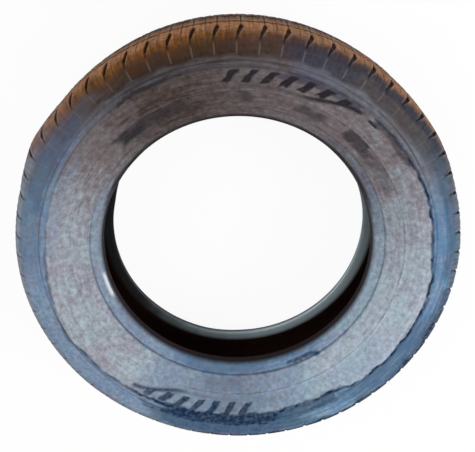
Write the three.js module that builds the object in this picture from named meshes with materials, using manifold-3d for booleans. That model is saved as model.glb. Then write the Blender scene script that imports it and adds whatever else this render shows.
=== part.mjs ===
// A worn passenger car tyre, off its wheel and lying on one side.
// Millimetres, +Z up along the wheel axis. The origin is on that axis, in the plane the tyre lies on.
// The section is drawn as points of (radius from the wheel axis, height above the mid-plane).
// Its upper half is drawn, and the lower half mirrors it.
import * as THREE from "three";
import { mergeVertices } from "three/addons/utils/BufferGeometryUtils.js";
import Module from "manifold-3d";

// Overall sizes
const OUTER_DIAMETER = 618; // over the worn tread
const SECTION_WIDTH = 174; // over the two scuff ribs, with no rim to spread the beads
const BEAD_SEAT_DIAMETER = 380; // at the bead heel, for a 15 inch rim
const BEAD_SPREAD = 97; // from heel to heel

// Beads
const BEAD_WIDTH = 15; // from heel to toe
const TOE_DROP = 1.8; // how much closer to the wheel axis the toe lies than the heel
const HEEL_RADIUS = 3.5;
const BEAD_WALL = 12; // wall just above the bead, where its filler is thick
const BEAD_HEIGHT = 14; // from the heel to that wall, along the outside

// Walls
const SIDEWALL_THICKNESS = 7.5;
const SHOULDER_THICKNESS = 13;
const CROWN_THICKNESS = 13; // from the liner to the worn tread surface

// Marks moulded around each sidewall, placed by distances along the wall
const RIM_LINE_DISTANCE = 12; // from the bead heel
const RIM_LINE_WIDTH = 3;
const RIM_LINE_DEPTH = 1;
const SCUFF_RIB_DISTANCE = 9.4; // from the foot of the shoulder, back to the middle of the rib
const SCUFF_RIB_WIDTH = 13; // the flat top, which the tyre lies on
const SCUFF_RIB_SLOPE = 2; // width of the sloping side of the rib towards the bead

// Tread
const TREAD_WIDTH = 130; // between the two lines where the shoulders start to turn down
const CROWN_DROP = 5; // from the middle of the tread to its edges
const GROOVES_PER_SIDE = 1; // grooves around the tread, besides the one in the middle
const GROOVE_SPACING = 35;
const GROOVE_WIDTH = 9;
const GROOVE_DEPTH = 5;
const GROOVE_DRAFT = 1; // how far each groove wall leans out
const PITCH_COUNT = 65; // tread blocks around each shoulder
const NOTCH_WIDTH = 5; // of the cross grooves between the shoulder blocks
const NOTCH_GAP = 6.5; // from the outermost groove to the inner end of a cross groove
const NOTCH_END = 0.5; // its outer end, as a share of the way up the shoulder

const TURN_STEPS = PITCH_COUNT; // one flat of the turned surface for each tread block
const CUTTER_CLEARANCE = 12; // how far a cutter stands out of the tread
const RUBBER = { color: "#6f7680", roughness: 0.85, metalness: 0 };

const outerRadius = OUTER_DIAMETER / 2;
const seatRadius = BEAD_SEAT_DIAMETER / 2;
const halfWidth = SECTION_WIDTH / 2;
const halfSpread = BEAD_SPREAD / 2;
const halfTread = TREAD_WIDTH / 2;
const point = (radius, height) => new THREE.Vector2(radius, height);

// A point the sidewall passes through, as its share of the way out to the tread and to full width.
function wallAnchor(rise, reach) {
  return point(
    THREE.MathUtils.lerp(seatRadius, outerRadius, rise),
    THREE.MathUtils.lerp(halfSpread, halfWidth, reach),
  );
}

// The outside of the sidewall, from the bead heel to the foot of the shoulder.
const sidewall = new THREE.SplineCurve([
  point(seatRadius + HEEL_RADIUS, halfSpread + 0.5),
  wallAnchor(0.117, 0.21),
  wallAnchor(0.324, 0.613),
  wallAnchor(0.587, 0.95),
  wallAnchor(0.72, 0.96),
]);
const wallLength = sidewall.getLength();

// The crown is a shallow parabola.
function crownRadius(height) {
  return outerRadius - CROWN_DROP * (height / halfTread) ** 2;
}

// The shoulder, from the sidewall to the tread edge.
const shoulder = new THREE.QuadraticBezierCurve(
  sidewall.getPoint(1),
  point(outerRadius - CROWN_DROP - 6, halfWidth + 2.5),
  point(crownRadius(halfTread), halfTread),
);

// A point of one of these curves, moved out of the rubber by stand, or into it where stand is negative.
function surfacePoint(curve, share, stand = 0) {
  const along = curve.getTangentAt(share);
  return curve.getPointAt(share).add(point(-along.y, along.x).multiplyScalar(stand));
}

// The air side, from near the middle of the crown to the bead.
function linerOutline() {
  const crown = [0.25, 0.65].map((share) => {
    const height = share * halfTread;
    return point(crownRadius(height) - CROWN_THICKNESS, height);
  });
  return [
    ...crown,
    surfacePoint(shoulder, 0.6, -SHOULDER_THICKNESS),
    surfacePoint(sidewall, 0.95, -SIDEWALL_THICKNESS),
    surfacePoint(sidewall, 0.65, -SIDEWALL_THICKNESS),
    surfacePoint(sidewall, 0.4, -SIDEWALL_THICKNESS),
    surfacePoint(sidewall, BEAD_HEIGHT / wallLength, -BEAD_WALL),
  ];
}

function beadOutline() {
  const toeHeight = halfSpread - BEAD_WIDTH;
  return [
    point(seatRadius - TOE_DROP, toeHeight),
    point(seatRadius, halfSpread - HEEL_RADIUS),
  ];
}

function sidewallOutline() {
  const at = (distance, stand) => surfacePoint(sidewall, distance / wallLength, stand);
  const ribDistance = wallLength - SCUFF_RIB_DISTANCE;
  const ribMiddle = at(ribDistance).x;
  const ribInner = ribMiddle - SCUFF_RIB_WIDTH / 2;
  const ribOuter = ribMiddle + SCUFF_RIB_WIDTH / 2;
  const ribFoot = ribDistance - SCUFF_RIB_WIDTH / 2 - SCUFF_RIB_SLOPE;
  const plain = [0.33, 0.67].map((share) =>
    at(THREE.MathUtils.lerp(RIM_LINE_DISTANCE, ribFoot, share)),
  );
  return [
    at(0),
    at(RIM_LINE_DISTANCE - RIM_LINE_WIDTH / 2),
    at(RIM_LINE_DISTANCE, -RIM_LINE_DEPTH),
    at(RIM_LINE_DISTANCE + RIM_LINE_WIDTH / 2),
    ...plain,
    at(ribFoot),
    point(ribInner, halfWidth),
    point(ribOuter, halfWidth),
  ];
}

function shoulderOutline() {
  return [0.3, 0.65, 1].map((share) => shoulder.getPoint(share));
}

// Both walls and the floor of each groove, from the tread edge to the middle.
function crownOutline() {
  const points = [];
  for (let i = GROOVES_PER_SIDE; i >= 0; i--) {
    const middle = i * GROOVE_SPACING;
    const floorRadius = crownRadius(middle) - GROOVE_DEPTH;
    const wall = (side) => {
      const rim = middle + (side * GROOVE_WIDTH) / 2;
      return [point(crownRadius(rim), rim), point(floorRadius, rim - side * GROOVE_DRAFT)];
    };
    points.push(...wall(1));
    if (i > 0) points.push(...wall(-1).reverse());
  }
  return points;
}

// The whole section, closed on itself, and turned about the wheel axis.
function tyreGeometry() {
  const upper = [
    ...linerOutline(),
    ...beadOutline(),
    ...sidewallOutline(),
    ...shoulderOutline(),
    ...crownOutline(),
  ];
  const lower = upper.map(({ x, y }) => point(x, -y)).reverse();
  const section = [...upper, ...lower, upper[0]].reverse();
  return new THREE.LatheGeometry(section, TURN_STEPS).rotateX(Math.PI / 2);
}

// What one cross groove takes away. Its floor runs straight under the rounded edge of the tread,
// so that it is deepest there and fades out at both ends.
function notchGeometry() {
  const start = GROOVES_PER_SIDE * GROOVE_SPACING + GROOVE_WIDTH / 2 + NOTCH_GAP;
  const outline = new THREE.Shape([
    point(crownRadius(start), start),
    surfacePoint(shoulder, NOTCH_END),
    point(outerRadius + CUTTER_CLEARANCE, halfWidth),
  ]);
  const cutter = new THREE.ExtrudeGeometry(outline, { depth: NOTCH_WIDTH, bevelEnabled: false });
  return cutter.translate(0, 0, -NOTCH_WIDTH / 2).rotateX(Math.PI / 2);
}

const wasm = await Module();
wasm.setup();

function solidOf(geometry) {
  const bare = geometry.clone();
  bare.deleteAttribute("normal");
  bare.deleteAttribute("uv");
  const merged = mergeVertices(bare, 1e-4);
  return new wasm.Manifold(
    new wasm.Mesh({
      numProp: 3,
      vertProperties: merged.attributes.position.array,
      triVerts: new Uint32Array(merged.index.array),
    }),
  );
}

function geometryOf(solid) {
  const mesh = solid.getMesh();
  const geometry = new THREE.BufferGeometry();
  geometry.setAttribute("position", new THREE.BufferAttribute(mesh.vertProperties, 3));
  geometry.setIndex(new THREE.BufferAttribute(mesh.triVerts, 1));
  geometry.computeVertexNormals();
  return geometry;
}

// The tyre with the cross grooves of both shoulders cut.
function cutTyre() {
  const pitch = (2 * Math.PI) / PITCH_COUNT;
  let solid = solidOf(tyreGeometry());
  for (let i = 0; i < PITCH_COUNT; i++) {
    const turn = (i + 0.5) * pitch;
    const upper = notchGeometry().rotateZ(turn);
    const lower = notchGeometry().rotateX(Math.PI).rotateZ(turn);
    solid = solid.subtract(solidOf(upper)).subtract(solidOf(lower));
  }
  return geometryOf(solid);
}

const tyre = new THREE.Mesh(cutTyre(), new THREE.MeshStandardMaterial(RUBBER));
tyre.name = "tyre";
tyre.position.z = halfWidth;

const part = new THREE.Group();
part.name = "worn_tyre";
part.add(tyre);

export default part;
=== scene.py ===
import math

import bpy
import numpy as np
from mathutils import Matrix, Vector


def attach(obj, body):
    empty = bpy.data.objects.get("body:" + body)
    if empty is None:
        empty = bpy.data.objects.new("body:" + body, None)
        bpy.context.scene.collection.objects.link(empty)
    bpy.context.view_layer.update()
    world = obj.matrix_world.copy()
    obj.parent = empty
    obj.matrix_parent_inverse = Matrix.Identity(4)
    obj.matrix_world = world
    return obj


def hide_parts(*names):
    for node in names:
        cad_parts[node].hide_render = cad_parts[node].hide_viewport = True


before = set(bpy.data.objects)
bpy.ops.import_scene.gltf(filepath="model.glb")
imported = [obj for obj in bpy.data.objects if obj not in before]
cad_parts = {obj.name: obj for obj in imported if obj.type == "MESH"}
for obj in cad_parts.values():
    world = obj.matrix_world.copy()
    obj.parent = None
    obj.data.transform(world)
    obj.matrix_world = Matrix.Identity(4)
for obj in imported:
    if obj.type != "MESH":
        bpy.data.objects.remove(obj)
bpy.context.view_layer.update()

# An old worn car tyre, off its wheel and lying on one sidewall.
# Sizes are in millimetres until a mesh is made. The section is drawn as radius from the wheel
# axis and height above the mid-plane. A place along the section is its reach: the length along
# the outside from the bead toe, and less than 0 on the air side. Places around the tyre are in
# degrees, clockwise as the camera sees it, from the picture's right.

MM = 0.001
MID_PLANE = 87.0  # height of the mid-plane above the floor
PITCHES = 65  # tread blocks around each shoulder
PITCH_DEGREES = 360 / PITCHES
TREAD_RADIUS = 300.0  # where the places within one pitch are measured
PITCH_LENGTH = 2 * math.pi * TREAD_RADIUS / PITCHES


# Camera, as fitted to the photograph's circles

VIEW_ANGLE = math.radians(23.85)  # between the wheel axis and the line to the camera
VIEW_DISTANCE = 1.030  # metres, from the middle of the tyre
VIEW_ROLL = math.radians(-2.0)
VIEW_LIFT = math.radians(0.727)  # how far above the middle of the tyre the camera points
FOCAL_PIXELS = 705.9
PICTURE_WIDTH = 475
SENSOR_WIDTH = 36


def aim_camera():
    centre = Vector((0, 0, MID_PLANE * MM))
    back = Vector((0, -math.sin(VIEW_ANGLE), math.cos(VIEW_ANGLE)))
    right = Vector((-1, 0, 0))
    up = back.cross(right)
    turned_right = math.cos(VIEW_ROLL) * right + math.sin(VIEW_ROLL) * up
    turned_up = -math.sin(VIEW_ROLL) * right + math.cos(VIEW_ROLL) * up
    look_back = math.cos(VIEW_LIFT) * back - math.sin(VIEW_LIFT) * turned_up
    look_up = math.cos(VIEW_LIFT) * turned_up + math.sin(VIEW_LIFT) * back
    data = bpy.data.cameras.new("camera")
    data.sensor_width = SENSOR_WIDTH
    data.lens = FOCAL_PIXELS * SENSOR_WIDTH / PICTURE_WIDTH
    camera = bpy.data.objects.new("camera", data)
    axes = Matrix((turned_right, look_up, look_back)).transposed().to_4x4()
    camera.matrix_world = Matrix.Translation(centre + back * VIEW_DISTANCE) @ axes
    bpy.context.scene.collection.objects.link(camera)
    bpy.context.scene.camera = camera


aim_camera()


# The section, as (radius, height) on the upper side. The lower side mirrors it.

# The outside: bead toe, seat and heel, sidewall, scuff rib, shoulder, and crown to its middle
OUTLINE = np.array([
    (188.2, 33.5), (189.2, 40.0), (189.9, 44.8), (190.4, 47.0), (191.6, 48.5), (193.6, 49.5),
    (197.5, 52.0), (203.9, 56.6), (215.0, 64.3), (228.6, 72.1), (243.0, 79.4), (257.0, 85.2),
    (266.0, 86.5), (273.7, 86.1), (278.9, 85.8), (284.3, 85.2), (289.2, 84.0), (293.4, 81.9),
    (297.0, 78.9), (300.0, 75.0), (302.2, 70.3), (303.9, 64.8), (305.2, 56.0), (306.2, 46.0),
    (307.2, 35.0), (308.1, 20.0), (308.7, 8.0), (308.9, 0.0),
])
SHOULDER_FROM = 284.0  # radius outside which the outline's height only falls

# The air side, from the bead toe to near the middle of the crown
LINER = np.array([
    (190.8, 34.4), (194.0, 36.3), (198.0, 38.8), (202.5, 41.6), (207.5, 44.6), (213.0, 48.6),
    (227.7, 63.1), (247.5, 72.6), (267.0, 78.0), (284.0, 73.8), (291.5, 60.0), (296.0, 12.0),
])
LINER_REACH = -np.cumsum(np.hypot(*np.diff(np.vstack([OUTLINE[:1], LINER]), axis=0).T))


def smooth_outline(points, steps=24):
    """A curve through the points, with even steps between each two, and the length along it."""
    before = np.vstack([2 * points[0] - points[1], points[:-1]])
    after = np.vstack([points[1:], 2 * points[-1] - points[-2]])
    slope = (after - before) / 2
    share = (np.arange(steps) / steps)[:, None]
    pieces = []
    for i in range(len(points) - 1):
        a, b = points[i], points[i + 1]
        pieces.append(
            (2 * share**3 - 3 * share**2 + 1) * a
            + (share**3 - 2 * share**2 + share) * slope[i]
            + (3 * share**2 - 2 * share**3) * b
            + (share**3 - share**2) * slope[i + 1]
        )
    curve = np.vstack(pieces + [points[-1:]])
    length = np.concatenate([[0], np.cumsum(np.hypot(*np.diff(curve, axis=0).T))])
    return curve, length


CURVE, LENGTH = smooth_outline(OUTLINE)


def reach_at_radius(radius):
    return np.interp(radius, CURVE[:, 0], LENGTH)


def reach_at_height(height):
    """How far along the section a height of the shoulder or the crown lies."""
    outer = CURVE[:, 0] > SHOULDER_FROM
    return np.interp(-np.asarray(height), -CURVE[outer, 1], LENGTH[outer])


def radius_at(reach):
    return np.interp(reach, LENGTH, CURVE[:, 0])


def height_at(reach):
    return np.interp(reach, LENGTH, CURVE[:, 1])


def outward_at(reach):
    """The direction out of the rubber, as its share of radius and of height."""
    step = 0.4
    along = np.array([
        radius_at(reach + step) - radius_at(reach - step),
        height_at(reach + step) - height_at(reach - step),
    ])
    along /= np.linalg.norm(along)
    return -along[1], along[0]


# Shapes of change. They take arrays of places and give arrays of amounts.

BLOTCHES_END = 900  # further out than any reach or radius


def eased(share):
    """A rise from 0 to 1 that starts and ends softly."""
    return share * share * (3 - 2 * share)


def ramp(value, start, end):
    """0 before start, 1 after end, and a smooth rise between."""
    return eased(np.clip((value - start) / (end - start), 0, 1))


def past_radius(reach, start, end):
    """0 inside the first radius, 1 outside the second, and a smooth rise between."""
    return ramp(reach, reach_at_radius(start), reach_at_radius(end))


def past_height(reach, start, end):
    """0 above the first height, 1 nearer the mid-plane than the second, and a smooth rise between."""
    return ramp(reach, reach_at_height(start), reach_at_height(end))


def window(value, start, end, edge):
    half = edge / 2
    return ramp(value, start - half, start + half) * (1 - ramp(value, end - half, end + half))


def line(value, middle, half_width):
    return np.exp(-(((value - middle) / half_width) ** 2))


def around(degrees, stops):
    """An amount that changes around the tyre, from stops of (degrees, amount)."""
    places, amounts = zip(*stops)
    return np.interp(degrees % 360, places, amounts, period=360)


def patch(degrees, radius, span, width, edge_degrees=2.0, edge=3.0):
    """A patch of the sidewall between two places around it and two radii, with soft edges."""
    middle, half = sum(span) / 2, (span[1] - span[0]) / 2
    offset = (degrees - middle + 180) % 360 - 180
    return window(offset, -half, half, edge_degrees) * window(radius, *width, edge)


def patches(degrees, radius, table):
    """Several patches laid together, from rows of an amount and what patch takes."""
    layers = [amount * patch(degrees, radius, *shape) for amount, *shape in table]
    return np.maximum.reduce(layers)


def blotches(degrees, reach, cells, length, seed):
    """Soft random patches from 0 to 1, with no seam: cells around, each this long outwards."""
    rows = int(BLOTCHES_END / length) + 3
    table = np.random.default_rng(seed).random((cells, rows))
    u = (degrees % 360) / 360 * cells
    v = np.clip(reach / length + 1, 0, rows - 2)
    i, j = np.floor(u).astype(int), np.floor(v).astype(int)
    across, outwards = eased(u - i), eased(v - j)
    i, k, m = i % cells, (i + 1) % cells, np.minimum(j + 1, rows - 1)
    near = table[i, j] * (1 - across) + table[k, j] * across
    far = table[i, m] * (1 - across) + table[k, m] * across
    return near * (1 - outwards) + far * outwards


# Marks of the sidewall

RIM_LINE = 203.7  # radii of the lines moulded around the sidewall
PANEL_LINE = 228.8
RIB_EDGE = 264.0
BUTTRESS_EDGE = 273.0

# Two groups of slanted bars, half a turn apart, that narrow towards one end
HATCH_START = 87.0
HATCH_LENGTH = 41.0
HATCH_TAPER = (24.0, 43.0)  # degrees along a group between which its inner edge moves out
HATCH_PITCH = 5.55
HATCH_LEAN = 0.17  # degrees for each millimetre outwards
HATCH_INNER = 239.0
HATCH_OUTER = 256.0
HATCH_BORDER = 234.0  # the line inside the bars

# Where the smooth band of the sidewall ends in a scuffed edge, as (degrees, radius)
SCUFFED_EDGE = [
    (0, 261.5), (15, 267), (25, 267.5), (30, 265), (50, 263), (60, 255), (72, 254.5), (80, 258),
    (125, 258), (140, 262), (150, 262.5), (155, 267), (170, 262), (185, 258), (250, 259),
    (310, 259), (315, 257.5), (338, 260.5),
]
RAGGED_AROUND = [
    (60, 1), (125, 1), (135, 0.6), (180, 0.5), (190, 0.15), (308, 0.15), (320, 0.9),
]
RIM_LINE_AROUND = [(0, 0.7), (60, 1), (150, 1), (200, 0.5), (330, 0.5)]


def hatch(degrees, radius):
    """The groups of slanted bars: where they are, their bars, and the border inside them."""
    place = degrees % 180 - HATCH_START
    worn_away = blotches(degrees, radius, cells=240, length=6, seed=41) - 0.5
    taper = ramp(place, *HATCH_TAPER)
    inner = HATCH_INNER + 13 * taper + 5 * worn_away
    inside = window(place, -0.5, HATCH_LENGTH, 0.8) * window(radius, inner, HATCH_OUTER, 1.6)
    leaned = place - HATCH_LEAN * (radius - HATCH_INNER)
    share = (leaned / HATCH_PITCH + 0.16 * worn_away) % 1
    bar = ramp(share, 0.36, 0.46) * (1 - ramp(share, 0.90, 1.0))
    bold = ramp(place, 22, 28)
    border = line(radius, HATCH_BORDER + 18 * taper, 1.4 + 1.6 * bold)
    border = border * window(place, 4, HATCH_LENGTH + 1.5, 2)
    return inside, bar, border * (0.55 + 0.45 * bold)


def ragged_part(degrees):
    """1 where the smooth band's edge is scuffed, and almost 0 where it is still clean."""
    return around(degrees, RAGGED_AROUND)


def scuffed_edge(degrees):
    """The radius at which the smooth band ends, with its raggedness."""
    level = 0 * degrees
    wander = blotches(degrees, level, cells=90, length=20, seed=31)
    wander += 0.9 * blotches(degrees, level, cells=360, length=20, seed=32)
    return around(degrees, SCUFFED_EDGE) + 2.8 * ragged_part(degrees) * (wander - 0.95)


def wall_relief(degrees, radius, upper):
    """Height in millimetres of the lines, bars and edges moulded on the sidewall."""
    rim_line = 0.4 * line(radius, RIM_LINE + 2.4, 0.7) - 1.4 * line(radius, RIM_LINE, 1.2)
    relief = around(degrees, RIM_LINE_AROUND) * rim_line
    uneven = 0.3 + blotches(degrees, radius, cells=90, length=300, seed=51)
    panel_line = 0.7 * line(radius, PANEL_LINE, 0.8) - 0.5 * line(radius, PANEL_LINE - 1.7, 0.8)
    relief += uneven * panel_line
    edges = line(radius, RIB_EDGE, 1.3) + line(radius, BUTTRESS_EDGE - 2.4, 1.6)
    relief += 0.5 * uneven * edges
    relief -= 0.9 * line(radius, RIB_EDGE + 2.9, 1.0)
    if upper:
        broken = 0.4 + 0.8 * blotches(degrees, radius, cells=160, length=40, seed=52)
        relief -= 1.1 * broken * line(radius, scuffed_edge(degrees), 1.5)
        inside, bar, border = hatch(degrees, radius)
        relief += inside * (1.3 * bar - 0.9) - 0.8 * border
    return relief


# Marks of the shoulder and the tread

# Columns of points in one pitch, as millimetres around the tread from the middle of a cross
# groove: the groove's edges and floor, a small cut, a deeper one, another small cut
TURNS_IN_PITCH = np.array(
    [-3.3, -2.5, 0.0, 2.5, 3.3, 6.4, 10.0, 13.7, 14.5, 15.3, 18.6, 21.6, 23.7]
)
COLUMNS_IN_PITCH = len(TURNS_IN_PITCH)
NOTCH_EDGES = (0, 4)
NOTCH_MIDDLE = 2
NOTCH_COLUMNS = np.arange(COLUMNS_IN_PITCH) <= NOTCH_EDGES[1]
RIB_FEET = (1, 3)
SIPE_COLUMN = 8
SMALL_SIPES = (6, 11)
COARSE_COLUMNS = [0, 2, 4, 7, 10]  # the columns that the plainer rows keep

NOTCH_DEPTH = 4.0
NOTCH_LEAN = 6.0
RIB_HEIGHT = 1.0
CROWN_CUT_DEPTH = 1.6
SIPE_DEPTH = 1.2
SMALL_SIPE_DEPTH = 0.6
GROOVE_MIDDLES = (0.0, 35.0)  # heights of the grooves around the tread
GROOVE_DEPTH = 5.0
GROOVE_WALL = (3.6, 4.4)  # from a groove's middle to its wall's foot and to its edge

# The cross grooves start further down the shoulder where it is worn less
KEEN_AROUND = [(8, 1), (24, 0), (180, 0), (196, 1)]


def notch_lean(reach):
    """How far a cross groove has moved around the tyre, from its tip to the tread edge."""
    return NOTCH_LEAN * past_height(reach, 84.0, 60.0)


def notch_width(reach):
    """The cross groove's width as a share of its greatest."""
    opened = past_height(reach, 83.0, 70.0)
    closed = past_height(reach, 60.0, 50.0)
    return (0.4 + 0.5 * opened) * (1 - 0.5 * closed)


def column_degrees(reach):
    """Where the columns of points lie around the tyre, for one row."""
    even = (np.arange(COLUMNS_IN_PITCH) - NOTCH_MIDDLE) * PITCH_LENGTH / COLUMNS_IN_PITCH
    widths = np.where(NOTCH_COLUMNS, notch_width(reach), 1.0)
    cut = TURNS_IN_PITCH * widths + notch_lean(reach)
    share = past_radius(reach, 262, 273)
    places = (1 - share) * even + share * cut
    starts = np.arange(PITCHES) * PITCH_DEGREES
    return (starts[:, None] + places[None, :] / PITCH_LENGTH * PITCH_DEGREES).ravel()


def tread_relief(reach, column, degrees):
    """Depth of the cross grooves, cuts and grooves around, and height of the ribs below them."""
    keen = around(degrees, KEEN_AROUND)
    sunk = keen * past_height(reach, 79.0, 73.0)
    sunk += (1 - keen) * past_height(reach, 72.0, 60.0)
    notch = NOTCH_DEPTH * (0.3 * past_height(reach, 83.9, 82.0) + 0.7 * sunk)
    notch *= 1 - past_height(reach, 50.0, 46.5)
    relief = -notch * ((column > NOTCH_EDGES[0]) & (column < NOTCH_EDGES[1]))
    relief -= CROWN_CUT_DEPTH * past_height(reach, 46.0, 44.5) * (column == NOTCH_MIDDLE)
    sipe = past_height(reach, 78.0, 62.0)
    relief -= SIPE_DEPTH * sipe * (column == SIPE_COLUMN)
    relief -= SMALL_SIPE_DEPTH * sipe * np.isin(column, SMALL_SIPES)
    rib = window(reach, reach_at_radius(274.5), reach_at_radius(289.0), 2.5)
    relief += RIB_HEIGHT * rib * (column == NOTCH_MIDDLE)
    for middle in GROOVE_MIDDLES:
        aside = abs(height_at(reach) - middle)
        groove = GROOVE_DEPTH * (1 - ramp(aside, *GROOVE_WALL)) * (reach > reach_at_height(60))
        relief = np.minimum(relief, -groove)
    return relief


def worn_edges(reach, column):
    """Pale worn rubber, on the ribs and along the edges of the cross grooves."""
    rib = window(reach, reach_at_radius(275.0), reach_at_radius(288.5), 3.0)
    rib = rib * np.where(column == NOTCH_MIDDLE, 0.8, 0.45 * np.isin(column, RIB_FEET))
    block = past_radius(reach, 293.0, 298.0) * np.isin(column, NOTCH_EDGES)
    return np.maximum(rib, block)


# Wear of the whole shape, in millimetres out of true

BULGE_AROUND = [
    (0, 1.4), (45, 3.2), (60, 4.2), (90, 2.6), (120, 0), (180, -0.6), (200, -1.6), (212, 5.0),
    (222, -0.4), (315, -0.4), (330, 2.6), (345, -0.2),
]
UPPER_BEAD_AROUND = [(200, 0), (225, -1.8), (270, -1.8), (300, -1.5), (345, -1.3), (20, 0)]
LOWER_BEAD_AROUND = [
    (0, 0.3), (60, -1.4), (90, -1.5), (105, 0), (150, -0.4), (180, -3), (195, -4), (212, 0),
]
LOWER_LUMPS_TURN = 97  # degrees by which the lower side's lumps are turned from the upper side's


def lumps(degrees, reach):
    coarse = blotches(degrees, reach, cells=60, length=30, seed=5) - 0.5
    fine = blotches(degrees, reach, cells=360, length=6, seed=6) - 0.5
    return 0.5 * coarse + 0.3 * fine


def bulge(degrees, reach):
    """How far the tread stands out of round."""
    return around(degrees, BULGE_AROUND) * ramp(reach, reach_at_radius(275), reach_at_height(70))


def bead_wander(degrees, reach, upper):
    """How far the beads stand out of round."""
    stops = UPPER_BEAD_AROUND if upper else LOWER_BEAD_AROUND
    return around(degrees, stops) * (1 - ramp(np.abs(reach), 8, 60))


# The mesh. Its rows lie close together at each line, edge and groove, and far apart elsewhere.

BEAD_ROWS = [0.0, 6.0, 10.5, 12.4, 13.8, 15.2, 17.0]
WALL_RADII = np.concatenate([
    [196.0, 198.5, 201.0, 202.0, 202.9, 203.7, 204.5, 205.3, 206.1, 207.2, 210.0, 214.0],
    [218.0, 222.0, 225.5, 226.4, 227.1, 228.0, 228.8, 229.6, 230.6, 232.5],
    [235.0, 237.5, 239.0, 240.5], np.arange(242.0, 256.1, 2.0),
    [257.2, 258.3, 259.3, 260.3, 261.3, 262.3, 263.2, 264.0, 264.8, 265.9, 267.0, 267.8, 268.6],
    [270.0, 271.6, 272.8, 274.2, 276.5, 279.5, 282.5, 285.5],
])
SHOULDER_HEIGHTS = [84.4, 83.2, 81.6, 79.6, 77.0, 73.6, 69.6, 65.0, 59.0]
CROWN_HEIGHTS = [52.0, 46.0, 39.4, 38.6, 31.4, 30.6, 17.0, 4.4, 3.6]
FINE_FROM = 232.0  # radius outside which the upper side has every column of points
LOWER_FINE_FROM = 284.0  # and the lower side, whose wall also has only every second row
SHARP_ANGLE = math.radians(40)


def tyre_rows():
    """Every row of points outside: its reach, whether it is on the upper side, and if it is fine."""
    reaches = np.concatenate([
        BEAD_ROWS,
        reach_at_radius(WALL_RADII),
        reach_at_height(SHOULDER_HEIGHTS),
        reach_at_height(CROWN_HEIGHTS),
    ])
    upper = [(r, True, r >= reach_at_radius(FINE_FROM)) for r in reaches]
    shoulder = [(r, False, True) for r in reaches if r >= reach_at_radius(LOWER_FINE_FROM)]
    wall = [(r, False, False) for r in reaches if r < reach_at_radius(LOWER_FINE_FROM)]
    return upper + shoulder[::-1] + wall[::-1][::2]


def ring(radius, height, degrees):
    turn = np.radians(degrees)
    level = height + MID_PLANE + 0 * turn
    return np.stack([-radius * np.cos(turn), radius * np.sin(turn), level], -1)


def outside_row(reach, upper, fine):
    """One row of points, with its reach, relief, pale edges and degrees."""
    degrees = column_degrees(reach)
    column = np.arange(len(degrees)) % COLUMNS_IN_PITCH
    if not fine:
        keep = np.isin(column, COARSE_COLUMNS)
        degrees, column = degrees[keep], column[keep]
    on_wall = ramp(reach, 14, 18) * (1 - past_radius(reach, 276, 280))
    relief = tread_relief(reach, column, degrees)
    relief = relief + on_wall * wall_relief(degrees, radius_at(reach), upper)
    turned = degrees + (0 if upper else LOWER_LUMPS_TURN)
    lumpy = lumps(turned, reach + 0 * degrees) * ramp(reach, 8, 30)
    out_radius, out_height = outward_at(reach)
    radius = radius_at(reach) + out_radius * (relief + lumpy)
    radius += bulge(degrees, reach) + bead_wander(degrees, reach, upper)
    height = height_at(reach) + out_height * (relief + lumpy)
    points = ring(radius, height if upper else -height, degrees)
    return points, reach + 0 * degrees, relief, worn_edges(reach, column), degrees


def liner_rows():
    """The rows of points on the air side, from the lower bead up to the upper one."""
    degrees = column_degrees(0.0)
    degrees = degrees[np.isin(np.arange(len(degrees)) % COLUMNS_IN_PITCH, COARSE_COLUMNS)]
    nothing = 0 * degrees
    lower = [(place, reach, False) for place, reach in zip(LINER, LINER_REACH)]
    upper = [(place, reach, True) for place, reach in zip(LINER, LINER_REACH)]
    for (radius, height), reach, is_upper in lower + upper[::-1]:
        wandering = radius + bead_wander(degrees, reach, is_upper)
        points = ring(wandering, height if is_upper else -height, degrees)
        yield points, reach + nothing, nothing, nothing, degrees


def faces_between(first, size, following, next_size):
    """The faces between two rows, which may differ in how many points they have."""
    if size == next_size:
        k = np.arange(size)
        n = (k + 1) % size
        return np.stack([first + k, first + n, following + n, following + k], -1).tolist()
    fine, coarse = (first, following) if size > next_size else (following, first)
    count = max(size, next_size)
    kept = np.nonzero(np.isin(np.arange(count) % COLUMNS_IN_PITCH, COARSE_COLUMNS))[0]
    faces = []
    for k, start in enumerate(kept):
        after = (k + 1) % len(kept)
        steps = (kept[after] - start) % count
        loop = [int(fine + (start + m) % count) for m in range(steps + 1)]
        loop += [int(coarse + after), int(coarse + k)]
        faces.append(loop if fine == first else loop[::-1])
    return faces


def build_tyre():
    """The tyre's mesh, its points, and their reach, relief, pale edges and degrees."""
    rows = [outside_row(*row) for row in tyre_rows()] + list(liner_rows())
    sizes = [len(row[0]) for row in rows]
    starts = np.concatenate([[0], np.cumsum(sizes)])
    faces = []
    for i in range(len(rows)):
        j = (i + 1) % len(rows)
        faces += faces_between(starts[i], sizes[i], starts[j], sizes[j])
    points, *fields = (np.concatenate(parts) for parts in zip(*rows))
    mesh = bpy.data.meshes.new("old_tyre")
    mesh.from_pydata((points * MM).tolist(), [], faces)
    mesh.polygons.foreach_set("use_smooth", [True] * len(mesh.polygons))
    mesh.set_sharp_from_angle(angle=SHARP_ANGLE)
    mesh.update()
    return mesh, points, fields


mesh, points, (reach, relief, worn, degrees) = build_tyre()
tyre = bpy.data.objects.new("old_tyre", mesh)
bpy.context.scene.collection.objects.link(tyre)


# Dirt and wear, as amounts on the points of the mesh. The lists around the tyre hold
# (degrees, amount), and the patches hold an amount, then what patch takes.

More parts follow.
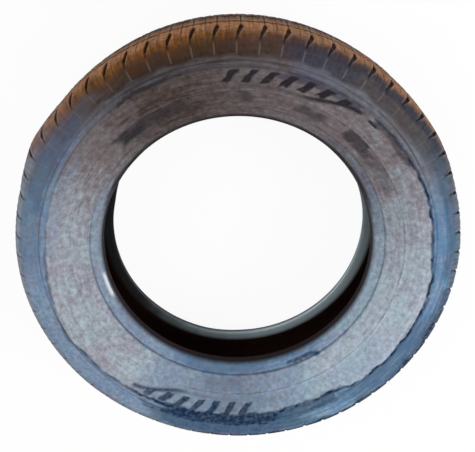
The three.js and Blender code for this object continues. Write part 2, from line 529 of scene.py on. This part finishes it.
# The chalky bloom: thick at the picture's bottom, and almost gone under the mud at its top. This
# change around the tyre is also painted light and shade: the lower half lit, the upper half in shade
BLOOM_AND_LIGHT_AROUND = [
    (0, 0.84), (20, 0.94), (50, 1.0), (70, 0.88), (88, 0.68), (108, 0.68), (122, 0.80),
    (150, 0.78), (185, 0.75), (200, 0.68), (225, 0.38), (243, 0.06), (256, 0.10), (290, 0.36),
    (305, 0.44), (325, 0.50), (340, 0.68),
]
BLOOM_PATCH = (0.03, (295, 345), (229, 256), 12.0, 3.0)
CROWN_BARE = 0.62  # how much of the bloom the tread has lost to the road

# Blue-grey film, on the bead, outside the smooth band, and in patches on the band. Its blue is
# partly a painted reflection of bluish light, strongest on the picture's lower half
BEAD_FILM_AND_REFLECTION_AROUND = [
    (0, 0.25), (45, 0.4), (60, 0.8), (110, 0.8), (125, 0.6), (170, 0.4), (205, 0.25),
    (222, 0.0), (300, 0.0), (335, 0.3),
]
RIB_FILM_AND_REFLECTION_AROUND = [
    (0, 0.95), (40, 1.0), (60, 0.85), (110, 1.0), (122, 0.6), (165, 0.62), (198, 0.65),
    (216, 0.45), (232, 0.1), (280, 0.0), (290, 0.25), (318, 0.1), (334, 0.3), (348, 0.9),
]
FILM_AND_REFLECTION_PATCHES = [
    (0.45, (64, 128), (200, 262), 14.0, 6.0),
    (0.25, (35, 75), (229, 262), 14.0, 6.0),
    (0.20, (182, 218), (242, 262), 10.0, 8.0),
]

# Dirt of the shoulder
MUD_AROUND = [
    (220, 0.0), (236, 0.8), (262, 0.95), (280, 0.75), (300, 0.68), (328, 0.66), (342, 0.2),
    (352, 0),
]
SHOULDER_AROUND = [
    (0, 0.65), (15, 0.8), (30, 1.0), (92, 1.0), (108, 0.5), (150, 0.3), (185, 0.2), (205, 0.2),
    (225, 0.2), (245, 0.0), (262, 0.2), (300, 0.6), (345, 0.55),
]
CLAY_AROUND = [
    (198, 0), (212, 0.3), (236, 0.9), (262, 0.9), (275, 0.6), (285, 0.25), (310, 0.1), (325, 0),
]
DUST_AROUND = [
    (205, 0), (218, 0.35), (232, 0.6), (262, 0.7), (280, 0.85), (318, 0.75), (340, 0.2),
    (352, 0),
]
LOWER_CLAY = 0.6  # what the lower side has of the upper side's clay and dust
LOWER_DUST = 0.3

# Dark blue stains, and dark blue bands along the scuff rib at the picture's bottom
NAVY_PATCHES = [
    (0.06, (-25, 112), (264, 294), 8.0, 5.0),
    (0.22, (180, 222), (264, 294), 8.0, 5.0),
    (0.40, (22, 56), (264, 292), 6.0, 4.0),
    (0.55, (10, 44), (283, 293), 5.0, 4.0),
    # dark blue bands along the scuff rib at the picture's bottom
    (0.60, (56, 84), (254, 272), 2.0, 3.0),
    (0.88, (80, 117), (254, 273.5), 2.0, 2.5),
    (0.30, (38, 100), (292, 304), 8.0, 4.0),
    (0.14, (82, 102), (229, 255), 6.0, 5.0),
    (0.50, (112, 126), (265, 274), 2.0, 2.5),
    (0.55, (70, 118), (270, 290), 8.0, 4.0),
    (0.45, (196, 228), (268, 290), 12.0, 5.0),
    (0.30, (285, 304), (274, 293), 5.0, 4.0),
    (0.45, (328, 366), (280, 292), 6.0, 4.0),
    (0.55, (284, 309), (250, 260), 3.0, 3.0),
    (0.70, (55, 68), (198, 203), 2.0, 2.0),
    (0.20, (90, 106), (208, 226), 4.0, 5.0),
    (0.25, (80, 116), (190, 203), 8.0, 3.0),
]

# Black grime: smears inside the panel line, along the smooth band's edge, and on the bead, and
# painted shade along the upper bead's heel
GRIME_PATCHES = [
    (0.75, (311, 323), (212, 228), 2.0, 2.0),
    (0.35, (323, 337), (212, 228), 4.0, 4.0),
    (0.85, (228, 240), (212, 227), 4.0, 4.0),
    (0.55, (240, 256), (212, 228), 5.0, 4.0),
    (0.60, (272, 277), (214, 228), 2.0, 3.0),
    (0.65, (291, 301), (211, 223), 3.0, 3.0),
    (0.60, (312, 332), (252, 258.5), 4.0, 2.0),
    (0.75, (234, 254), (257.5, 262.5), 3.0, 1.5),
    (0.18, (305, 354), (188, 204), 8.0, 4.0),
]
SCAR = ((312, 315.6), (249, 253.5), 1.0, 1.5)  # a short crisp mark
# painted shade along the rounded heel of the upper bead, at the picture's top
HEEL_SHADE_AROUND = [(196, 0), (212, 0.95), (335, 0.95), (352, 0)]
HATCH_NAVY = (80, 130)  # degrees between which the gaps of the bars hold each kind of dirt
HATCH_GRIME = (260, 320)

# Painted highlights on the beads, then rubbed and worn places
# painted light on the lower bead's inner edge, as an amount around the tyre
PAINTED_BEAD_LIGHT_AROUND = [
    (0, 0.6), (35, 1), (75, 0.95), (105, 0.5), (125, 0.2), (140, 0.05), (240, 0.05), (300, 0.4),
]
# a painted highlight on the upper bead's heel
PAINTED_GLINT = (0.9, (160, 171), (190.9, 194.0), 3.0, 1.2)
PALE_RIBS_AROUND = [(60, 0.45), (225, 0.3), (250, 1), (305, 1), (320, 0.45)]
PALE_BLOCKS_AROUND = [(0, 0.3), (180, 0.4), (210, 1), (320, 1), (345, 0.3)]
RIBS_END = 291  # radius outside which the pale edges are those of the blocks

wall_radius = radius_at(reach)
on_top = points[:, 2] > MID_PLANE
on_crown = past_height(reach, 52, 36)  # 0 at the tread's edges, 1 over its middle


def wandered_places():
    """Degrees, radius and reach that wander a little, so that no patch has a straight edge."""
    wide = blotches(degrees, reach, cells=120, length=40, seed=23) - 0.5
    fine = blotches(degrees, reach, cells=400, length=50, seed=24) - 0.5
    turn = degrees + 6 * (blotches(degrees, reach, cells=90, length=12, seed=21) - 0.5)
    turn += 3 * (blotches(degrees, reach, cells=300, length=5, seed=22) - 0.5)
    return turn, wall_radius + 4 * wide + 3 * fine, reach + 6 * wide


turn, radius, along = wandered_places()
band_edge = reach_at_radius(scuffed_edge(degrees))


def bloom_and_light_map():
    """The chalky bloom, with painted light and shade around the tyre, which the road has worn off the
    tread.
    """
    bloom_and_painted_light = around(turn, BLOOM_AND_LIGHT_AROUND) + patches(turn, radius, [BLOOM_PATCH])
    return bloom_and_painted_light * (1 - CROWN_BARE * on_crown)


def film_and_reflection_map():
    """Blue-grey film on the sidewall, partly a painted bluish reflection, thin again where the
    shoulder starts.
    """
    film_and_reflection = np.maximum.reduce([
        around(turn, BEAD_FILM_AND_REFLECTION_AROUND) * (1 - ramp(radius, 202, 208)),
        around(turn, RIB_FILM_AND_REFLECTION_AROUND) * ramp(reach, band_edge - 1, band_edge + 2),
        patches(turn, radius, FILM_AND_REFLECTION_PATCHES),
    ])
    return film_and_reflection * (1 - 0.75 * past_radius(along, 289, 294))


def mud_map():
    """Brown mud outside the smooth band, thicker on the shoulder's foot."""
    buttress = reach_at_radius(BUTTRESS_EDGE)
    on_rib = 0.35 * ramp(reach, band_edge - 2, band_edge + 2)
    on_buttress = 0.65 * ramp(along, buttress - 3, buttress + 3)
    return around(turn, MUD_AROUND) * (on_rib + on_buttress)


def shoulder_map():
    """Darkened rubber where the shoulder turns to the tread."""
    shoulder = past_radius(along, 288.5, 293.5) * around(turn, SHOULDER_AROUND)
    return shoulder * (1 - 0.7 * on_crown)


def clay_map():
    """Rust-brown clay on the shoulder, which thins out over the crown."""
    clay = around(turn, CLAY_AROUND) * (1 - 0.8 * past_height(reach, 54, 38))
    clay = clay * np.where(on_top, 1.0, LOWER_CLAY)
    return clay * (0.2 * past_radius(along, 272, 286) + 0.8 * past_radius(along, 286, 299))


def dust_map():
    """Pale clay dust on the tread edge, which thins out over the crown."""
    dust = around(turn, DUST_AROUND) * past_height(along, 78, 66)
    return dust * (1 - 0.75 * past_height(reach, 30, 12)) * np.where(on_top, 1.0, LOWER_DUST)


def stain_maps():
    """Navy stains, and black grime with painted shade on the upper bead's heel; both also fill the
    gaps between the slanted bars.
    """
    inside, bar, border = hatch(degrees, wall_radius)
    gaps = np.maximum(inside * (1 - bar), border)
    scuffs = line(wall_radius, scuffed_edge(degrees) + 1.2, 2.4)
    uneven = 0.35 + blotches(degrees, reach, cells=200, length=30, seed=53)
    scuffs = scuffs * ragged_part(degrees) * uneven
    navy = np.maximum.reduce([
        patches(turn, radius, NAVY_PATCHES),
        scuffs,
        0.75 * gaps * window(degrees, *HATCH_NAVY, 2),
    ])
    grime_and_heel_shade = np.maximum.reduce([
        patches(turn, radius, GRIME_PATCHES),
        patch(degrees, wall_radius, *SCAR),
        # painted shade along the upper bead's heel
        window(reach, 8.0, 18.6, 1.6) * around(degrees, HEEL_SHADE_AROUND),
        gaps * window(degrees, *HATCH_GRIME, 2),
    ])
    return navy * on_top, grime_and_heel_shade * on_top


def painted_bead_light_map():
    """Painted light: the light caught on the smooth inner edge of the lower bead, as a pale colour.
    """
    reached = np.where(reach < 0, 1.0, ~on_top * (1 - ramp(reach, 8, 11)))
    return around(turn, PAINTED_BEAD_LIGHT_AROUND) * reached


def painted_glint_map():
    """A painted highlight: a bright glint on the upper bead's heel."""
    return patches(degrees, wall_radius, [PAINTED_GLINT]) * on_top * (reach > 0)


def pale_map():
    """How pale the worn edges of the ribs and blocks are around the tyre."""
    ribs = around(degrees, PALE_RIBS_AROUND)
    blocks = around(degrees, PALE_BLOCKS_AROUND)
    return worn * np.where(reach < reach_at_radius(RIBS_END), ribs, blocks)


navy_amount, grime_and_heel_shade_amount = stain_maps()
shoulder_amount = shoulder_map()
clay_amount = clay_map()
streaks_amount = np.maximum(shoulder_amount, clay_amount) * (1 - 0.7 * past_height(reach, 60, 48))

AMOUNTS = {
    "bloom_and_painted_light": bloom_and_light_map(),
    "film_and_reflection": film_and_reflection_map(),
    "mud": mud_map(),
    "shoulder": shoulder_amount,
    "clay": clay_amount,
    "dust": dust_map(),
    "streaks": streaks_amount,
    "navy": navy_amount,
    "grime_and_heel_shade": grime_and_heel_shade_amount,
    "worn": pale_map(),
    "relief": relief,
    "reach": reach,
    "painted_glint": painted_glint_map(),
    "painted_bead_light": painted_bead_light_map(),
}
for name, values in AMOUNTS.items():
    layer = mesh.attributes.new(name, "FLOAT", "POINT")
    layer.data.foreach_set("value", values.astype(np.float32))


# Materials


def paint(code):
    """An sRGB hex colour as linear red, green, blue and alpha."""
    values = [int(code[i:i + 2], 16) / 255 for i in (1, 3, 5)]
    return [v / 12.92 if v <= 0.04045 else ((v + 0.055) / 1.055) ** 2.4 for v in values] + [1.0]


def add(tree, kind, settings=None, feeds=None):
    """Adds a node, sets its settings, and links or sets its inputs. Gives its outputs."""
    node = tree.nodes.new(kind)
    for name, value in (settings or {}).items():
        setattr(node, name, value)
    for key, value in (feeds or {}).items():
        if isinstance(value, bpy.types.NodeSocket):
            tree.links.new(value, node.inputs[key])
        else:
            node.inputs[key].default_value = value
    return node.outputs


def new_material(name):
    material = bpy.data.materials.new(name)
    material.use_nodes = True
    material.node_tree.nodes.clear()
    return material, material.node_tree


SUM = {"operation": "ADD"}
PRODUCT = {"operation": "MULTIPLY"}
CLAMPED_PRODUCT = {"operation": "MULTIPLY", "use_clamp": True}
GREATER = {"operation": "MAXIMUM"}
COLOUR_MIX = {"data_type": "RGBA"}
COLOUR_PRODUCT = {"data_type": "RGBA", "blend_type": "MULTIPLY"}

# Sizes of the rubber's patterns in millimetres. The real grain and bloom are under 1 mm, too
# fine to show in the render, so the mottle is drawn as coarse as it needs to show.
MOTTLE_SIZE = 6.66667
CLOUD_SIZE = 38.4615  # wide patches of thicker and thinner bloom

# Streaks: the radius they are measured at, and their size around the tyre and along the section
STREAK = (280.0, 40.0, 4.0)  # washed along the sidewall
SCRATCH = (297.5, 3.5, 62.5)  # scrapes over the shoulder, drawn coarser than they are

# Carbon-black rubber of the bare tyre, then with half and with all of its bloom
BARE_RUBBER = "#3c312b"
BLOOM_STEPS = ((0.0, 0.5, "#776e71"), (0.5, 1.0, "#b1bfcd"))
BLOOM_SWINGS = (("streak", 0.09), ("mottle", 0.06), ("cloud", 0.06))

# Dirt over it, from the first laid to the last: its amount, pattern, unevenness and colour
DIRT = (
    # film, partly a painted bluish reflection
    ("film_and_reflection", "streak", 0.45, "#6184a6"),
    ("mud", "mottle", 0.25, "#271911"),
    ("shoulder", "mottle", 0.20, "#1e2e44"),
    ("clay", "mottle", 0.30, "#754a1f"),
    ("dust", "mottle", 0.35, "#a87650"),
    ("navy", "mottle", 0.35, "#0e2644"),
    # grime, with painted shade on the upper bead's heel
    ("grime_and_heel_shade", "streak", 0.20, "#27242a"),
)
PALE_COVER = 0.4  # how much of a worn edge is rubbed pale
GRAIN_DEPTH = 0.0012  # metres
RUBBER_IOR = 1.52
RUBBER_SHINE = 0.12  # the chalk scatters most of the shine
RUBBER_ROUGHNESS = (0.66, 0.86)


def wear_patterns(tree):
    """Noise from 0 to 1: fine and wide mottling, and streaks around the tyre and across it."""
    place = add(tree, "ShaderNodeTexCoord")["Object"]
    reached = add(tree, "ShaderNodeAttribute", {"attribute_name": "reach"})["Fac"]
    flat = add(tree, "ShaderNodeVectorMath", PRODUCT, {0: place, 1: (1, 1, 0)})["Vector"]
    outward = add(tree, "ShaderNodeVectorMath", {"operation": "NORMALIZE"}, {0: flat})["Vector"]
    patterns = {}
    for name, size in (("mottle", MOTTLE_SIZE), ("cloud", CLOUD_SIZE)):
        patterns[name] = add(tree, "ShaderNodeTexNoise", {}, {
            "Vector": place,
            "Scale": 1 / (size * MM),
            "Detail": 5.0,
            "Roughness": 0.65,
        })["Fac"]
    for name, (middle, size_around, size_along), detail in (
        ("streak", STREAK, 4.0),
        ("scratch", SCRATCH, 1.5),
    ):
        repeats = middle / size_around  # in a radian of turn
        risen = add(tree, "ShaderNodeMath", PRODUCT, {0: reached, 1: 1 / size_along})["Value"]
        lift = add(tree, "ShaderNodeCombineXYZ", {}, {"Z": risen})["Vector"]
        vector = add(tree, "ShaderNodeVectorMath", {"operation": "MULTIPLY_ADD"}, {
            0: outward,
            1: (repeats, repeats, 0),
            2: lift,
        })["Vector"]
        patterns[name] = add(tree, "ShaderNodeTexNoise", {}, {
            "Vector": vector,
            "Scale": 1.0,
            "Detail": detail,
            "Roughness": 0.6,
        })["Fac"]
    return patterns


def weathered_rubber():
    """Moulded black rubber aged outdoors: dark where bare, grey and dull where it has chalked."""
    material, tree = new_material("weathered_tyre_rubber")
    pattern = wear_patterns(tree)
    amount = {}
    for name in AMOUNTS:
        amount[name] = add(tree, "ShaderNodeAttribute", {"attribute_name": name})["Fac"]

    # the bloom, uneven in every pattern, takes the colour from bare to chalky; around the tyre
    # its amount also holds painted light and shade
    chalk_and_light = amount["bloom_and_painted_light"]
    for name, swing in BLOOM_SWINGS:
        shift = add(tree, "ShaderNodeMapRange", {}, {
            "Value": pattern[name],
            "From Min": 0.32,
            "From Max": 0.68,
            "To Min": -swing,
            "To Max": swing,
        })["Result"]
        chalk_and_light = add(tree, "ShaderNodeMath", SUM, {0: chalk_and_light, 1: shift})["Value"]
    colour = paint(BARE_RUBBER)
    for low, high, code in BLOOM_STEPS:
        share = add(tree, "ShaderNodeMapRange", {}, {
            "Value": chalk_and_light,
            "From Min": low,
            "From Max": high,
        })["Result"]
        colour = add(tree, "ShaderNodeMix", COLOUR_MIX, {0: share, 6: colour, 7: paint(code)})[2]

    # dirt over it, each kind uneven in its own pattern
    for name, kind, swing, code in DIRT:
        uneven = add(tree, "ShaderNodeMapRange", {}, {
            "Value": pattern[kind],
            "From Min": 0.35,
            "From Max": 0.65,
            "To Min": 1 - swing,
            "To Max": 1 + swing,
        })["Result"]
        cover = add(tree, "ShaderNodeMath", CLAMPED_PRODUCT, {0: amount[name], 1: uneven})["Value"]
        colour = add(tree, "ShaderNodeMix", COLOUR_MIX, {0: cover, 6: colour, 7: paint(code)})[2]

    # worn edges are paler, in the tone of what lies around them
    pale = paint("#8f9aa4")
    for name, code in (("mud", "#85776d"), ("clay", "#8f602c")):
        feeds = {0: amount[name], 6: pale, 7: paint(code)}
        pale = add(tree, "ShaderNodeMix", COLOUR_MIX, feeds)[2]
    cover = add(tree, "ShaderNodeMath", PRODUCT, {0: amount["worn"], 1: PALE_COVER})["Value"]
    colour = add(tree, "ShaderNodeMix", COLOUR_MIX, {0: cover, 6: colour, 7: pale})[2]

    # scrapes darken and lighten the shoulder, the clouds turn from warm to cool, and the
    # mottle specks everything
    shade = add(tree, "ShaderNodeMapRange", {}, {
        "Value": pattern["scratch"],
        "From Min": 0.35,
        "From Max": 0.65,
        "To Min": 0.55,
        "To Max": 1.3,
    })["Result"]
    hue = add(tree, "ShaderNodeMapRange", {}, {
        "Value": pattern["cloud"],
        "From Min": 0.4,
        "From Max": 0.6,
    })["Result"]
    tinge = add(tree, "ShaderNodeMix", COLOUR_MIX, {
        0: hue,
        6: paint("#faf4f7"),
        7: paint("#f3f8f4"),
    })[2]
    speck = add(tree, "ShaderNodeMapRange", {}, {
        "Value": pattern["mottle"],
        "From Min": 0.3,
        "From Max": 0.7,
        "To Min": 0.77,
        "To Max": 1.21,
    })["Result"]
    for share, tint in ((amount["streaks"], shade), (1.0, tinge), (1.0, speck)):
        colour = add(tree, "ShaderNodeMix", COLOUR_PRODUCT, {0: share, 6: colour, 7: tint})[2]

    # what is sunk is painted darker, in the tone of the dust and film around it. The bead seat and
    # heel are painted dark as shade, and the air side darker deeper in, as painted shade
    ground = paint("#15141a")
    for name, code in (("dust", "#4a2a1a"), ("film_and_reflection", "#1c3554")):
        feeds = {0: amount[name], 6: ground, 7: paint(code)}
        ground = add(tree, "ShaderNodeMix", COLOUR_MIX, feeds)[2]
    for name, start, end, over in (
        # what is sunk is painted darker
        ("relief", -0.2, -2.2, ground),
        ("relief", 0.45, 1.8, paint("#a9b2ba")),  # rubbed tops
        # painted shade over the bead heel and seat
        ("reach", 18.5, 8.5, paint("#221a1c")),  # bead seat
        ("reach", 0.0, -2.0, paint("#1a0f0e")),  # inner edge of the bead
        # painted light on the lower bead's inner edge
        ("painted_bead_light", 0.0, 1.0, paint("#e2f6ff")),
        # painted shade deeper in the air side, in a red-brown tone
        ("reach", -14.0, -24.0, paint("#321b13")),  # air side
        # painted highlight on the upper bead's heel
        ("painted_glint", 0.0, 1.0, paint("#dfe5e8")),
    ):
        share = add(tree, "ShaderNodeMapRange", {}, {
            "Value": amount[name],
            "From Min": start,
            "From Max": end,
        })["Result"]
        colour = add(tree, "ShaderNodeMix", COLOUR_MIX, {0: share, 6: colour, 7: over})[2]

    grain = add(tree, "ShaderNodeBump", {}, {
        "Strength": 0.35,
        "Distance": GRAIN_DEPTH,
        "Height": pattern["mottle"],
    })["Normal"]
    roughness = add(tree, "ShaderNodeMapRange", {}, {
        "Value": pattern["mottle"],
        "From Min": 0.3,
        "From Max": 0.7,
        "To Min": RUBBER_ROUGHNESS[0],
        "To Max": RUBBER_ROUGHNESS[1],
    })["Result"]
    surface = add(tree, "ShaderNodeBsdfPrincipled", {}, {
        "Base Color": colour,
        "Roughness": roughness,
        "IOR": RUBBER_IOR,
        "Specular IOR Level": RUBBER_SHINE,
        "Normal": grain,
    })["BSDF"]
    add(tree, "ShaderNodeOutputMaterial", {}, {"Surface": surface})
    return material


mesh.materials.append(weathered_rubber())

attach(tyre, "root")
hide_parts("tyre")


# Floor, light and world, in metres and watts

FLOOR_HALF = 6.0
FLOOR_LIFT = 0.93  # how far the floor's look to the camera moves from lit to plain white
WORLD_LIGHT = 0.62


def seen_rays(tree):
    """1 for what the camera sees, straight or in a reflection, and 0 for rays that only light."""
    ways = add(tree, "ShaderNodeLightPath")
    seen = ways["Is Camera Ray"]
    for way in ("Is Glossy Ray", "Is Transmission Ray"):
        seen = add(tree, "ShaderNodeMath", GREATER, {0: seen, 1: ways[way]})["Value"]
    return seen


def pale_floor():
    """A matt white studio floor, which shows paler to the camera but keeps the shadow."""
    material, tree = new_material("matt_studio_floor")
    lift = add(tree, "ShaderNodeMath", PRODUCT, {0: seen_rays(tree), 1: FLOOR_LIFT})["Value"]
    matt = add(tree, "ShaderNodeBsdfDiffuse", {}, {"Color": paint("#f4f4f4")})["BSDF"]
    white = add(tree, "ShaderNodeEmission", {}, {
        "Color": paint("#ffffff"),
        "Strength": 1.0,
    })["Emission"]
    surface = add(tree, "ShaderNodeMixShader", {}, {0: lift, 1: matt, 2: white})["Shader"]
    add(tree, "ShaderNodeOutputMaterial", {}, {"Surface": surface})
    return material


def lay_floor():
    half = FLOOR_HALF
    corners = [(-half, -half, 0), (half, -half, 0), (half, half, 0), (-half, half, 0)]
    floor_mesh = bpy.data.meshes.new("floor")
    floor_mesh.from_pydata(corners, [], [(0, 1, 2, 3)])
    floor_mesh.materials.append(pale_floor())
    floor = bpy.data.objects.new("floor", floor_mesh)
    bpy.context.scene.collection.objects.link(floor)


def hang_softbox(name, direction, distance, size, watts):
    data = bpy.data.lights.new(name, "AREA")
    data.shape = "SQUARE"
    data.size = size
    data.energy = watts
    lamp = bpy.data.objects.new(name, data)
    toward = Vector(direction).normalized()
    lamp.location = Vector((0, 0, MID_PLANE * MM)) + toward * distance
    lamp.rotation_mode = "QUATERNION"
    lamp.rotation_quaternion = toward.to_track_quat("Z", "Y")
    bpy.context.scene.collection.objects.link(lamp)


def light_world():
    world = bpy.data.worlds.new("studio")
    world.use_nodes = True
    tree = world.node_tree
    tree.nodes.clear()
    strength = add(tree, "ShaderNodeMapRange", {}, {
        "Value": seen_rays(tree),
        "To Min": WORLD_LIGHT,
        "To Max": 1.0,
    })["Result"]
    light = add(tree, "ShaderNodeBackground", {}, {
        "Color": paint("#ffffff"),
        "Strength": strength,
    })["Background"]
    add(tree, "ShaderNodeOutputWorld", {}, {"Surface": light})
    bpy.context.scene.world = world


lay_floor()
light_world()
hang_softbox("right_softbox", (-0.82, 0.20, 0.62), distance=2.2, size=0.9, watts=26)
hang_softbox("left_softbox", (0.75, -0.45, 0.80), distance=2.4, size=1.4, watts=16)

bpy.context.scene.view_settings.view_transform = "Standard"
